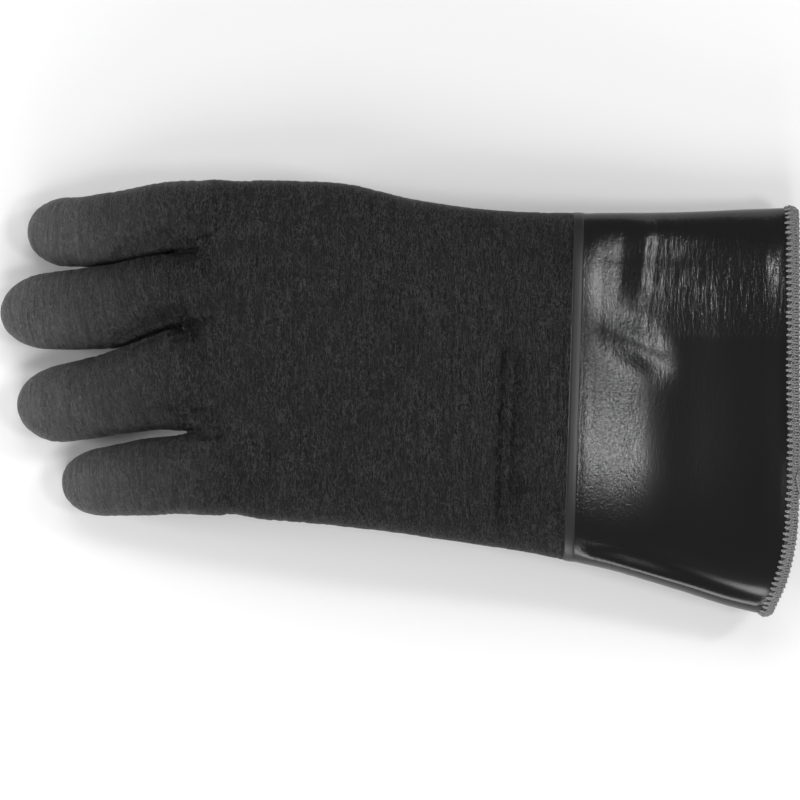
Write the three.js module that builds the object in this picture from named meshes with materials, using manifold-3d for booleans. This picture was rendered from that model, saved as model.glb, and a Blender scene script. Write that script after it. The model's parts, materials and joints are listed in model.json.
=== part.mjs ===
// A heat resistant gauntlet glove for the left hand: a crinkle-finish rubber coating over a knit lining,
// with a smooth flared cuff and an overlocked hem. It lies palm down, with the thumb tucked under the palm.
// Millimetres. +X runs from the fingertips to the cuff's mouth, +Y to the thumb side, +Z up from the table.

import * as THREE from "three";
import { mergeVertices } from "three/addons/utils/BufferGeometryUtils.js";
import Module from "manifold-3d";

const wasm = await Module();
wasm.setup();

// ---- Driving dimensions ----

// The wall, from the outside in.
const COATING = 1.8;
const LINING = 1.5;
const GAP = 0.3; // between pieces that touch
const LINING_OUTSIDE = COATING + GAP;
const WALL = LINING_OUTSIDE + LINING;

// The sleeve is the hand and cuff without digits. Each station is a section across X: its centre (y, z), its
// half width and half height, and how square its upper and lower halves are (2 is an ellipse).
const SLEEVE = [
  { x: -89, y: 25, z: 35, halfWidth: 66, halfHeight: 7, upper: 3, lower: 3 },
  { x: -77, y: 23.7, z: 38, halfWidth: 73.6, halfHeight: 14.4, upper: 3.2, lower: 3.2 },
  { x: -50, y: 22.4, z: 42, halfWidth: 75.2, halfHeight: 16.2, upper: 3, lower: 3 },
  { x: -22, y: 20, z: 45, halfWidth: 75.8, halfHeight: 17.2, upper: 2.8, lower: 2.8 },
  { x: 5, y: 15.2, z: 46, halfWidth: 74.2, halfHeight: 17.6, upper: 2.7, lower: 2.7 },
  { x: 35, y: 10.6, z: 45.5, halfWidth: 74.2, halfHeight: 17.8, upper: 2.5, lower: 2.6 },
  { x: 62, y: 7.7, z: 42.5, halfWidth: 76, halfHeight: 18.2, upper: 2.4, lower: 2.6 },
  { x: 90, y: 4.6, z: 37.5, halfWidth: 78.6, halfHeight: 19.2, upper: 2.3, lower: 2.6 },
  { x: 120, y: 0.6, z: 31, halfWidth: 83.2, halfHeight: 20.8, upper: 2.15, lower: 2.6 },
  { x: 150, y: -3.4, z: 25.2, halfWidth: 88.5, halfHeight: 22.4, upper: 2.05, lower: 2.6 },
  { x: 182, y: -6.6, z: 23.1, halfWidth: 93, halfHeight: 23.2, upper: 2, lower: 2.6 },
];
const SLEEVE_SIDES = 28;
const SLEEVE_RINGS = SLEEVE.length - 1;

// Lines across the sleeve, seen from above, from the little finger's edge to the thumb's edge.
const MOUTH = [[161, -106], [164.5, -96], [170.5, -82], [174.8, -64], [176.4, -42], [176.4, 10], [176.8, 92], [176.8, 102]];
const CUFF_START = [[71, -106], [74.3, 1], [77.5, 102]];
const WRIST_X = 44.5;
const WRIST_BEND = 20;

// Each digit's centre line runs from inside the palm through its root to its tip. Widths and heights are halves.
const DIGITS = [
  {
    name: "index",
    line: [[-62, 80.8, 41], [-86, 81.7, 36.4], [-125, 78.4, 24.8], [-165.5, 75.3, 6.34]],
    rootWidth: 16.1, tipWidth: 15.3, height: 13, base: 0.17, middle: 0.53,
  },
  {
    name: "middle",
    line: [[-62, 49, 41.5], [-86, 47.6, 36.8], [-128, 42.2, 25], [-178, 39.7, 7.53]],
    rootWidth: 18.9, tipWidth: 17.4, height: 13.4, base: 0.17, middle: 0.53,
  },
  {
    name: "ring",
    line: [[-62, 11.5, 41.5], [-86, 8.6, 36.8], [-125, 2.6, 25], [-170.4, -2.1, 6.67]],
    rootWidth: 19.7, tipWidth: 17.4, height: 13.2, base: 0.17, middle: 0.53,
  },
  {
    name: "little",
    line: [[-62, -27.5, 40.5], [-86, -31.2, 35.6], [-117, -34.4, 22.8], [-149.8, -35.9, 4.97]],
    rootWidth: 18, tipWidth: 14.3, height: 12, base: 0.19, middle: 0.55,
  },
];
const THUMB = {
  name: "thumb",
  line: [[38, 50, 48], [27, 50.5, 31], [5, 48, 14.8], [-26, 35, 13.2], [-60, 17, 12.9]],
  rootWidth: 18.5, tipWidth: 16.2, height: 13, base: 0.3, middle: 0.62,
};
const DIGIT_SIDES = 12;
const DIGIT_RINGS = 4;
const TIP_RINGS = 3;
const DIGIT_SQUARENESS = 2.3;
const TIP_LENGTH = 1.15; // of a fingertip's dome, in half widths

// How far each hinge turns, in degrees: a finger curls down and straightens a little past rest.
const FINGER_CURL = 55;
const FINGER_LIFT = 10;
const THUMB_SWING = 50;
const THUMB_CURL = 40;
const HINGE_DROP = 3; // of a finger's hinge below its centre line

// Trim at the cuff.
const HEM_WIDTH = 8.5;
const HEM_THREAD = 0.9;
const LAP_WIDTH = 4.5;
const LAP_THICKNESS = 0.5;
const SEAM_WIDTH = 3;
const SEAM_THICKNESS = 1.6;
const HAND_SEAM = [-40, 34]; // where each seam starts and ends along X
const CUFF_SEAM = [62, 158];
const TAIL = { y: -36, length: 11, radius: 0.8 };

const FAR = 400;
const COLOURS = { crinkle: 0x2f2f2f, smooth: 0x1d1d1d, knit: 0x8d8b86, thread: 0x6a6a6a };
const FINISH = {
  crinkle: { color: COLOURS.crinkle, roughness: 0.8, metalness: 0 },
  smooth: { color: COLOURS.smooth, roughness: 0.3, metalness: 0 },
  knit: { color: COLOURS.knit, roughness: 0.95, metalness: 0 },
  thread: { color: COLOURS.thread, roughness: 0.7, metalness: 0 },
};

// ---- Solids ----

const vector = (p) => new THREE.Vector3(...p);

function solid(geometry) {
  const bare = new THREE.BufferGeometry().setAttribute("position", geometry.getAttribute("position"));
  if (geometry.index) bare.setIndex(geometry.index);
  const merged = mergeVertices(bare, 1e-4);
  const mesh = new wasm.Mesh({
    numProp: 3,
    vertProperties: new Float32Array(merged.attributes.position.array),
    triVerts: new Uint32Array(merged.index.array),
  });
  return new wasm.Manifold(mesh);
}

function geometryOf(made) {
  const mesh = made.getMesh();
  const geometry = new THREE.BufferGeometry();
  geometry.setAttribute("position", new THREE.BufferAttribute(new Float32Array(mesh.vertProperties), 3));
  geometry.setIndex(new THREE.BufferAttribute(new Uint32Array(mesh.triVerts), 1));
  return geometry.toNonIndexed();
}

const power = (value, squareness) => Math.sign(value) * Math.abs(value) ** (2 / squareness);

// A closed tube through sections, made by moving each ring of a cylinder onto its section.
function loft(sections, sides) {
  const geometry = new THREE.CylinderGeometry(1, 1, 1, sides, sections.length - 1);
  const position = geometry.getAttribute("position");
  const point = new THREE.Vector3();
  for (let i = 0; i < position.count; i++) {
    const section = sections[Math.round((0.5 - position.getY(i)) * (sections.length - 1))];
    const squareness = position.getZ(i) < 0 ? section.lower : section.upper;
    point.copy(section.centre);
    point.addScaledVector(section.across, section.halfWidth * power(position.getX(i), squareness));
    point.addScaledVector(section.up, section.halfHeight * power(position.getZ(i), squareness));
    position.setXYZ(i, point.x, point.y, point.z);
  }
  return solid(geometry);
}

// A prism: a polygon in the plane of two directions, pushed both ways along the third.
function prism(points, origin, right, up, halfLength) {
  const shape = new THREE.Shape(points.map(([x, y]) => new THREE.Vector2(x, y)));
  const geometry = new THREE.ExtrudeGeometry(shape, { depth: 2 * halfLength, bevelEnabled: false });
  const along = new THREE.Vector3().crossVectors(right, up);
  const place = new THREE.Matrix4().makeBasis(right, up, along);
  place.setPosition(origin.clone().addScaledVector(along, -halfLength));
  return solid(geometry.applyMatrix4(place));
}

const EAST = new THREE.Vector3(1, 0, 0);
const NORTH = new THREE.Vector3(0, 1, 0);
const UP = new THREE.Vector3(0, 0, 1);
const ORIGIN = new THREE.Vector3();

// All that lies between two lines across the sleeve, at any height. A missing line is far away.
function strip(from, to) {
  const low = from ?? [[-FAR, -FAR], [-FAR, FAR]];
  const high = to ?? [[FAR, -FAR], [FAR, FAR]];
  return prism([...low, ...[...high].reverse()], ORIGIN, EAST, NORTH, FAR);
}

const shifted = (line, dx) => line.map(([x, y]) => [x + dx, y]);
const smoothLine = (line) =>
  new THREE.SplineCurve(line.map(([x, y]) => new THREE.Vector2(x, y))).getPoints(10).map((p) => [p.x, p.y]);

const mouthLine = smoothLine(MOUTH);

// ---- Sleeve ----

const sleeveCentre = new THREE.CatmullRomCurve3(SLEEVE.map((s) => new THREE.Vector3(s.x, s.y, s.z)));
const sleeveSize = new THREE.CatmullRomCurve3(
  SLEEVE.map((s) => new THREE.Vector3(s.halfWidth, s.halfHeight, s.upper)),
);
const sleeveLower = new THREE.CatmullRomCurve3(SLEEVE.map((s) => new THREE.Vector3(s.lower, 0, 0)));

function sleeveSection(t, inset) {
  const size = sleeveSize.getPoint(t);
  return {
    centre: sleeveCentre.getPoint(t),
    across: NORTH,
    up: UP,
    halfWidth: size.x - inset,
    halfHeight: size.y - inset,
    upper: size.z,
    lower: sleeveLower.getPoint(t).x,
  };
}

// The section at a place along X.
function sectionAt(x, inset) {
  let low = 0;
  let high = 1;
  while (high - low > 1e-6) {
    const middle = (low + high) / 2;
    if (sleeveCentre.getPoint(middle).x < x) low = middle;
    else high = middle;
  }
  return sleeveSection(low, inset);
}

// The sleeve's outer shape moved in by inset, closed at the knuckles and running past the mouth.
function sleeve(inset) {
  const sections = [];
  for (let k = 0; k <= SLEEVE_RINGS; k++) sections.push(sleeveSection(k / SLEEVE_RINGS, inset));
  sections[0].centre.x += inset;
  sections[SLEEVE_RINGS].centre.x += 10;
  return loft(sections, SLEEVE_SIDES);
}

// ---- Digits ----

function digitFrame(digit, distance) {
  const curve = digit.curve;
  const share = THREE.MathUtils.clamp(distance / digit.length, 0, 1);
  const along = curve.getTangentAt(share).normalize();
  const across = new THREE.Vector3().crossVectors(UP, along).normalize();
  const up = new THREE.Vector3().crossVectors(along, across);
  return { centre: curve.getPointAt(share), along, across, up };
}

function withCurve(digit) {
  const curve = new THREE.CatmullRomCurve3(digit.line.map(vector));
  const length = curve.getLength();
  const root = vector(digit.line[0]).distanceTo(vector(digit.line[1]));
  const reach = length - root;
  return { ...digit, curve, length, baseAt: root + digit.base * reach, middleAt: root + digit.middle * reach };
}

// A digit's outer shape moved in by inset: a tube that ends in a dome.
function digitSolid(digit, inset) {
  const dome = TIP_LENGTH * digit.tipWidth;
  const domeStart = digit.length - dome;
  const sections = [];
  const addSection = (distance, shrink) => {
    const share = distance / digit.length;
    sections.push({
      ...digitFrame(digit, distance),
      halfWidth: (THREE.MathUtils.lerp(digit.rootWidth, digit.tipWidth, share) - inset) * shrink,
      halfHeight: (digit.height - inset) * shrink,
      upper: DIGIT_SQUARENESS,
      lower: DIGIT_SQUARENESS,
    });
  };
  for (let k = 0; k < DIGIT_RINGS; k++) addSection((domeStart * k) / DIGIT_RINGS, 1);
  for (let k = 0; k <= TIP_RINGS; k++) {
    const angle = (k / TIP_RINGS) * (Math.PI / 2) * 0.93;
    addSection(domeStart + (dome - inset) * Math.sin(angle), Math.cos(angle));
  }
  return loft(sections, DIGIT_SIDES);
}

// ---- Hinges ----

// A hinge's frame: the pieces lie along, they fold towards or away from side, and the axis is the third way.
// The two halves of space on its sides leave a notch, so that pieces cut by them can turn without meeting.
function halves(hinge) {
  const towards = Math.tan(THREE.MathUtils.degToRad(hinge.towards / 2)) * FAR;
  const away = Math.tan(THREE.MathUtils.degToRad(hinge.away / 2)) * FAR;
  const profile = (sign) => [
    [sign * FAR * 2, -FAR],
    [sign * (GAP + away), -FAR],
    [sign * GAP, 0],
    [sign * (GAP + towards), FAR],
    [sign * FAR * 2, FAR],
  ];
  const make = (points) => prism(points, hinge.at, hinge.along, hinge.side, FAR);
  return { near: make(profile(-1)), far: make(profile(1).reverse()) };
}

function fingerHinge(digit, distance) {
  const frame = digitFrame(digit, distance);
  const at = frame.centre.clone().addScaledVector(frame.up, -HINGE_DROP);
  const side = frame.up.clone().negate();
  return { at, along: frame.along, side, towards: FINGER_CURL, away: FINGER_LIFT };
}

// The thumb turns level with the table, outwards at its base and inwards at its middle.
function thumbHinge(digit, distance, outwards, turn) {
  const frame = digitFrame(digit, distance);
  const along = frame.along.clone().setZ(0).normalize();
  const side = new THREE.Vector3().crossVectors(along, UP).multiplyScalar(outwards);
  return { at: frame.centre, along, side, towards: turn, away: 0 };
}

const wristHinge = {
  at: sectionAt(WRIST_X, 0).centre,
  along: EAST,
  side: UP,
  towards: WRIST_BEND,
  away: WRIST_BEND,
};

const fingers = DIGITS.map(withCurve).map((digit) => ({
  ...digit,
  baseHinge: fingerHinge(digit, digit.baseAt),
  middleHinge: fingerHinge(digit, digit.middleAt),
}));
const thumbShape = withCurve(THUMB);
const thumb = {
  ...thumbShape,
  baseHinge: thumbHinge(thumbShape, thumbShape.baseAt, 1, THUMB_SWING),
  middleHinge: thumbHinge(thumbShape, thumbShape.middleAt, -1, THUMB_CURL),
};
const digits = [...fingers, thumb];
digits.forEach((digit) => {
  digit.baseHalves = halves(digit.baseHinge);
  digit.middleHalves = halves(digit.middleHinge);
});
const wristHalves = halves(wristHinge);

// ---- Layers ----

const aboveTable = prism([[-FAR, 0], [FAR, 0], [FAR, FAR], [-FAR, FAR]], ORIGIN, EAST, UP, FAR);

// The whole glove moved in by inset.
const wholeShape = (inset) => digits.reduce((made, digit) => made.add(digitSolid(digit, inset)), sleeve(inset));

// The same without the moving lengths of its digits.
const handShape = (inset) =>
  digits.reduce(
    (made, digit) => made.add(digitSolid(digit, inset).intersect(digit.baseHalves.near)),
    sleeve(inset),
  );

function layerShapes(outside, inside) {
  const wall = handShape(outside).subtract(wholeShape(inside)).intersect(aboveTable);
  const digitWalls = digits.map((digit) => {
    const tube = digitSolid(digit, outside).subtract(digitSolid(digit, inside)).intersect(aboveTable);
    const moving = tube.intersect(digit.baseHalves.far);
    return {
      name: digit.name,
      base: moving.intersect(digit.middleHalves.near),
      tip: moving.intersect(digit.middleHalves.far),
    };
  });
  return {
    hand: wall.intersect(wristHalves.near),
    cuff: wall.intersect(wristHalves.far).intersect(strip(null, mouthLine)),
    digitWalls,
  };
}

const coating = layerShapes(0, COATING);
const lining = layerShapes(LINING_OUTSIDE, WALL);

// ---- Trim ----

function lapBand() {
  const ring = sleeve(-GAP - LAP_THICKNESS).subtract(sleeve(-GAP));
  return ring.intersect(strip(CUFF_START, shifted(CUFF_START, LAP_WIDTH)));
}

// Thread round the mouth's edge: it covers a strip outside, the edge, and a strip inside.
function hem() {
  const outer = sleeve(-GAP - HEM_THREAD).subtract(sleeve(WALL + GAP + HEM_THREAD));
  const wall = sleeve(-GAP).subtract(sleeve(WALL + GAP));
  const band = outer.intersect(strip(shifted(mouthLine, -HEM_WIDTH), shifted(mouthLine, GAP + HEM_THREAD)));
  return band.subtract(wall.intersect(strip(null, shifted(mouthLine, GAP)))).intersect(aboveTable);
}

// The chain of thread left past the last stitch, lying on the hem's edge.
function threadTail() {
  const edge = mouthLine.reduce((a, b) => (Math.abs(a[1] - TAIL.y) < Math.abs(b[1] - TAIL.y) ? a : b));
  const section = sectionAt(edge[0], 0);
  const height = section.centre.z + 0.9 * section.halfHeight;
  const tail = new THREE.CapsuleGeometry(TAIL.radius, TAIL.length, 3, 8);
  tail.translate(edge[0] + 2 * GAP + HEM_THREAD + TAIL.radius, TAIL.y, height - 2);
  return solid(tail);
}

// A sewn seam allowance inside the lining, along one edge of the sleeve.
function seam(side, from, to) {
  const points = [];
  const count = 6;
  for (let k = 0; k <= count; k++) {
    const section = sectionAt(THREE.MathUtils.lerp(from, to, k / count), WALL + 2 * GAP);
    const reach = section.halfWidth - SEAM_WIDTH / 2 - GAP;
    points.push(section.centre.clone().addScaledVector(NORTH, side * reach));
  }
  const shape = new THREE.Shape();
  shape.absellipse(0, 0, SEAM_THICKNESS / 2, SEAM_WIDTH / 2, 0, 2 * Math.PI);
  const path = new THREE.CatmullRomCurve3(points);
  const options = { steps: count, curveSegments: 3, extrudePath: path };
  return solid(new THREE.ExtrudeGeometry(shape, options));
}

// ---- Assembly ----

// Each body is a group whose origin is on its hinge, inside the group of the body that carries it.
function body(name, parent, at) {
  const group = new THREE.Group();
  group.name = name;
  group.position.copy(at);
  if (parent) group.position.sub(parent.userData.at);
  group.userData.at = at;
  if (parent) parent.add(group);
  return group;
}

function addPiece(group, name, made, finish) {
  const geometry = geometryOf(made);
  const { x, y, z } = group.userData.at;
  geometry.translate(-x, -y, -z);
  geometry.computeVertexNormals();
  const mesh = new THREE.Mesh(geometry, new THREE.MeshStandardMaterial(FINISH[finish]));
  mesh.name = name;
  group.add(mesh);
}

const glove = body("hand", null, ORIGIN);
addPiece(glove, "hand_shell", coating.hand, "crinkle");
addPiece(glove, "hand_lining", lining.hand, "knit");

const cuff = body("cuff", glove, wristHinge.at);
const cuffStart = strip(null, CUFF_START);
const pastCuffStart = strip(shifted(CUFF_START, GAP), null);
addPiece(cuff, "wrist_shell", coating.cuff.intersect(cuffStart), "crinkle");
addPiece(cuff, "gauntlet_cuff", coating.cuff.intersect(pastCuffStart), "smooth");
addPiece(cuff, "cuff_lap_band", lapBand(), "smooth");
addPiece(cuff, "cuff_lining", lining.cuff, "knit");
addPiece(cuff, "hem_overlock", hem(), "thread");
addPiece(cuff, "hem_thread_tail", threadTail(), "thread");

for (const [side, sign] of [["thumb_side", 1], ["outer_side", -1]]) {
  addPiece(glove, `hand_seam_${side}`, seam(sign, ...HAND_SEAM), "thread");
  addPiece(cuff, `cuff_seam_${side}`, seam(sign, ...CUFF_SEAM), "thread");
}

digits.forEach((digit, i) => {
  const base = body(`${digit.name}_base`, glove, digit.baseHinge.at);
  const tip = body(`${digit.name}_tip`, base, digit.middleHinge.at);
  for (const [layer, walls, finish] of [["shell", coating, "crinkle"], ["lining", lining, "knit"]]) {
    addPiece(base, `${digit.name}_base_${layer}`, walls.digitWalls[i].base, finish);
    addPiece(tip, `${digit.name}_tip_${layer}`, walls.digitWalls[i].tip, finish);
  }
});

// What a scene needs to turn each hinge: its body, a point on its axis, and the axis that makes a turn positive.
glove.userData.hinges = [
  { name: "wrist_bend", body: "cuff", at: wristHinge.at, axis: NORTH, range: [-WRIST_BEND, WRIST_BEND] },
  ...digits.flatMap((digit) =>
    [["base", digit.baseHinge], ["middle", digit.middleHinge]].map(([place, hinge]) => ({
      name: `${digit.name}_${place}_bend`,
      body: `${digit.name}_${place === "base" ? "base" : "tip"}`,
      at: hinge.at,
      axis: new THREE.Vector3().crossVectors(hinge.along, hinge.side),
      range: [-hinge.away, hinge.towards],
    })),
  ),
];

export default glove;
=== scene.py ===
"""Looks for the heat resistant glove: one crinkled rubber skin cut into pieces at every hinge, a smooth cuff,
an overlocked hem of real threads, and a knit lining. Shapes are in millimetres in the shared frame."""

import itertools
import json
import math

import bpy
import numpy as np
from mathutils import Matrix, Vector

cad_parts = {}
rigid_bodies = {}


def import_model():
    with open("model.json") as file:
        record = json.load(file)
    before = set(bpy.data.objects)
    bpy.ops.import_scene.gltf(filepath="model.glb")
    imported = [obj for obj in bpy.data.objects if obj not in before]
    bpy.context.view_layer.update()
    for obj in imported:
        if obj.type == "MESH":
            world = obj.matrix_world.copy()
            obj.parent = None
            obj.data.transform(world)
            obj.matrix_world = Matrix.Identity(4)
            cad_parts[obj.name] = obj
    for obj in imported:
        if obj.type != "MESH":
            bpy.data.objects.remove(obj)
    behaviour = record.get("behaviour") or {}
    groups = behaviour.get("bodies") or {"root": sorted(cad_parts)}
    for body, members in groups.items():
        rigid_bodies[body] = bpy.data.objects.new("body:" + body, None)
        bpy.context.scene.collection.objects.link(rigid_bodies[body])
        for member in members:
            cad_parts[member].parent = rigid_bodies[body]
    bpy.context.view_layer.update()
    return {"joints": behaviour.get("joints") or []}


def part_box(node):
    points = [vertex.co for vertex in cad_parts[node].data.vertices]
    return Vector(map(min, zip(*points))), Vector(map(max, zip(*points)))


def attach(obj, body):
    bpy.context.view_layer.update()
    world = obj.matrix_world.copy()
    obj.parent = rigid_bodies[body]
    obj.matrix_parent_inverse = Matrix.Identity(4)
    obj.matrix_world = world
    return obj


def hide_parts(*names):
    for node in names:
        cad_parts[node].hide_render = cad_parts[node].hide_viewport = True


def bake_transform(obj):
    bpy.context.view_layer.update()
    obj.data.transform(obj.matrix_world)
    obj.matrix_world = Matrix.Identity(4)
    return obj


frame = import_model()
joints = {j["name"]: j for j in frame["joints"]}

MM = 0.001
COATING = 1.8  # thickness of the rubber
LINING_OUT = 2.1  # how far the lining's two faces are under the outer surface
LINING_IN = 3.6
TABLE_GAP = 0.02  # least height of the skin over the table

# ---- The shape of the glove ----

# Sections of the sleeve across X: x, centre y and z, half width, half height, squareness above and below.
SLEEVE = np.array([
    [-98, 24.5, 34.0, 61.0, 4.0, 2.6, 2.6],
    [-85, 24.0, 36.6, 69.0, 10.4, 2.9, 2.9],
    [-70, 23.3, 39.2, 73.7, 14.6, 3.1, 3.1],
    [-50, 22.4, 42.0, 75.2, 16.2, 3.0, 3.0],
    [-22, 20.0, 45.0, 75.8, 17.2, 2.8, 2.8],
    [5, 15.2, 46.0, 74.2, 17.6, 2.7, 2.7],
    [35, 10.6, 45.5, 74.2, 17.8, 2.5, 2.6],
    [62, 7.7, 42.5, 76.0, 18.2, 2.4, 2.6],
    [90, 4.6, 37.5, 78.6, 19.2, 2.3, 2.6],
    [120, 0.6, 31.0, 83.2, 20.8, 2.15, 2.6],
    [150, -3.4, 25.2, 88.5, 22.4, 2.05, 2.6],
    [182, -6.6, 23.1, 93.0, 23.2, 2.0, 2.6],
])
KNUCKLE_END = -94.5

# Each digit from inside the palm to its tip: centre x, y, z and half width.
DIGITS = {
    "index": [
        (-62, 82.0, 41.0, 15.0), (-86, 82.4, 36.4, 15.2), (-102, 80.8, 32.0, 16.7),
        (-120, 77.4, 26.4, 17.2), (-131, 75.9, 22.2, 17.0), (-140, 75.4, 18.5, 15.8),
        (-165.5, 76.2, 6.34, 15.0),
    ],
    "middle": [
        (-62, 49.5, 41.5, 17.0), (-86, 49.6, 36.8, 16.8), (-102, 48.8, 32.2, 17.9),
        (-112, 46.1, 29.2, 18.9), (-125, 42.3, 25.8, 19.2), (-134, 41.6, 22.7, 18.9),
        (-160, 40.0, 13.9, 16.6), (-178, 39.2, 7.53, 16.2),
    ],
    "ring": [
        (-62, 10.5, 41.5, 19.0), (-86, 9.4, 36.8, 22.2), (-102, 9.9, 31.8, 23.3), (-112, 8.0, 28.8, 21.5),
        (-125, 3.9, 25.0, 19.0), (-138, 1.0, 20.4, 18.0), (-152, -1.2, 14.4, 17.0),
        (-170.4, -1.9, 6.67, 16.8),
    ],
    "little": [
        (-62, -29.0, 40.5, 18.0), (-86, -31.4, 35.6, 18.6), (-98, -32.3, 31.0, 17.4),
        (-111, -33.7, 25.8, 16.9), (-127, -35.3, 17.8, 15.6), (-137, -36.3, 12.4, 14.6),
        (-149.8, -36.0, 4.97, 14.2),
    ],
    "thumb": [
        (38, 50, 48, 18.5), (27, 50.5, 31, 18.3), (5, 48, 14.8, 17.9), (-26, 35, 13.2, 17.0),
        (-60, 17, 12.9, 16.2),
    ],
}
DIGIT_HEIGHTS = {"index": 13.0, "middle": 13.4, "ring": 13.2, "little": 12.0, "thumb": 13.0}  # half
# Lines seen from above where neighbouring fingers press against each other.
BETWEEN = {
    ("index", "middle"): [
        (-180, 58.0), (-150, 59.0), (-136, 59.8), (-125, 61.4), (-112, 63.7), (-102, 65.5), (-60, 68.0),
    ],
    ("middle", "ring"): [
        (-180, 19.0), (-150, 20.5), (-136, 21.8), (-125, 23.1), (-112, 28.2), (-102, 31.6), (-60, 33.0),
    ],
    ("ring", "little"): [
        (-180, -21.0), (-150, -19.5), (-136, -17.5), (-122, -15.0), (-112, -14.4), (-96, -14.2), (-60, -13.0),
    ],
}
BETWEEN = {pair: np.array(line, float).T for pair, line in BETWEEN.items()}
PRESS_GAP = 0.5  # between two fingers that press against each other
PRESS_LEAN = 0.2  # of the surface between them, sideways for each unit up
LEAN_FADES = (-144, -132)  # x where the lean fades out towards the tips
PRESS_FADES = (-102, -88)  # x where the flattening fades out towards the roots
DIGIT_SQUARENESS = 2.3
TIP_LENGTH = 1.35  # of a fingertip's dome, in half widths

# Lines across the sleeve seen from above, as (x, y).
MOUTH = np.array([
    (161, -106), (164.5, -96), (170.5, -82), (174.8, -64), (176.4, -42),
    (176.4, 10), (176.8, 92), (176.8, 102),
])
CUFF_START = np.array([(71, -106), (74.3, 1), (77.5, 102)])
CUFF_LENGTH = 102.0
CUFF_MIDDLE = 125.0  # x
CUFF_OVERLAP = 3  # of the smooth cuff over the crinkled skin
RIM_BACK = 2.6  # of the rubber's edge from the outer edge of the threads


def cubic(t, a, b, slope_a, slope_b):
    """A curve from a to b with the given slopes at its ends, read at t between 0 and 1."""
    return (
        a * (1 + 2 * t) * (1 - t) ** 2
        + b * t * t * (3 - 2 * t)
        + slope_a * t * (1 - t) ** 2
        - slope_b * t * t * (1 - t)
    )


def table(x, xs, ys):
    """A smooth curve through (xs, ys), read at x."""
    slopes = np.gradient(ys, xs)
    i = np.clip(np.searchsorted(xs, x) - 1, 0, len(xs) - 2)
    gap = xs[i + 1] - xs[i]
    t = np.clip((x - xs[i]) / gap, 0, 1)
    return cubic(t, ys[i], ys[i + 1], slopes[i] * gap, slopes[i + 1] * gap)


def cuff_start(y):
    return np.interp(y, CUFF_START[:, 1], CUFF_START[:, 0])


def mouth(y):
    return table(y, MOUTH[:, 1], MOUTH[:, 0])


def smoothstep(x, low, high):
    t = np.clip((x - low) / (high - low), 0, 1)
    return t * t * (3 - 2 * t)


def bell(t):
    return np.exp(-t * t)


def unit(vectors):
    return vectors / np.maximum(np.linalg.norm(vectors, axis=1)[:, None], 1e-9)


def run_along(path):
    """Distance from the path's start at each of its points."""
    return np.r_[0, np.cumsum(np.linalg.norm(np.diff(path, axis=0), axis=1))]


def read_at(at, run, values):
    """Rows of three values, given at each run, read at other runs."""
    return np.column_stack([np.interp(at, run, values[:, k]) for k in range(3)])


def noise(points, seed=0):
    """Smooth noise between -1 and 1, with features about one unit wide."""
    cell = np.floor(points).astype(np.int64)
    f = points - cell
    f = f**3 * (f * (6 * f - 15) + 10)
    total = np.zeros(len(points))
    for corner in itertools.product((0, 1), repeat=3):
        c = cell + np.array(corner)
        h = (c[:, 0] * 73856093) ^ (c[:, 1] * 19349663) ^ (c[:, 2] * 83492791) ^ (seed * 6542989)
        h = (h & 0xFFFFFFFF) * 2246822519 & 0xFFFFFFFF
        h = (h ^ (h >> 15)) * 3266489917 & 0xFFFFFFFF
        value = (h ^ (h >> 13)) / 2**31 - 1
        weight = np.prod(np.where(corner, f, 1 - f), axis=1)
        total += value * weight
    return total


def centre_line(points, count=90):
    """Evenly spaced samples of a smooth curve through the points, with a frame at each."""
    p = np.array(points, float)
    p = np.vstack([2 * p[0] - p[1], p, 2 * p[-1] - p[-2]])
    dense = []
    for k in range(1, len(p) - 2):
        p0, p1, p2, p3 = p[k - 1 : k + 3]
        d0, d1, d2 = [np.linalg.norm(b - a) ** 0.5 for a, b in ((p0, p1), (p1, p2), (p2, p3))]
        m1 = ((p1 - p0) / d0 - (p2 - p0) / (d0 + d1) + (p2 - p1) / d1) * d1
        m2 = ((p2 - p1) / d1 - (p3 - p1) / (d1 + d2) + (p3 - p2) / d2) * d1
        t = np.linspace(0, 1, 60, endpoint=False)[:, None]
        dense.append(cubic(t, p1, p2, m1, m2))
    dense = np.vstack([*dense, p[-2]])
    run = run_along(dense)
    at = np.linspace(0, run[-1], count)
    line = read_at(at, run, dense)
    along = unit(np.gradient(line, axis=0))
    across = unit(np.cross((0, 0, 1), along))
    return {"at": at, "line": line, "along": along, "across": across, "up": np.cross(along, across)}


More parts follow.
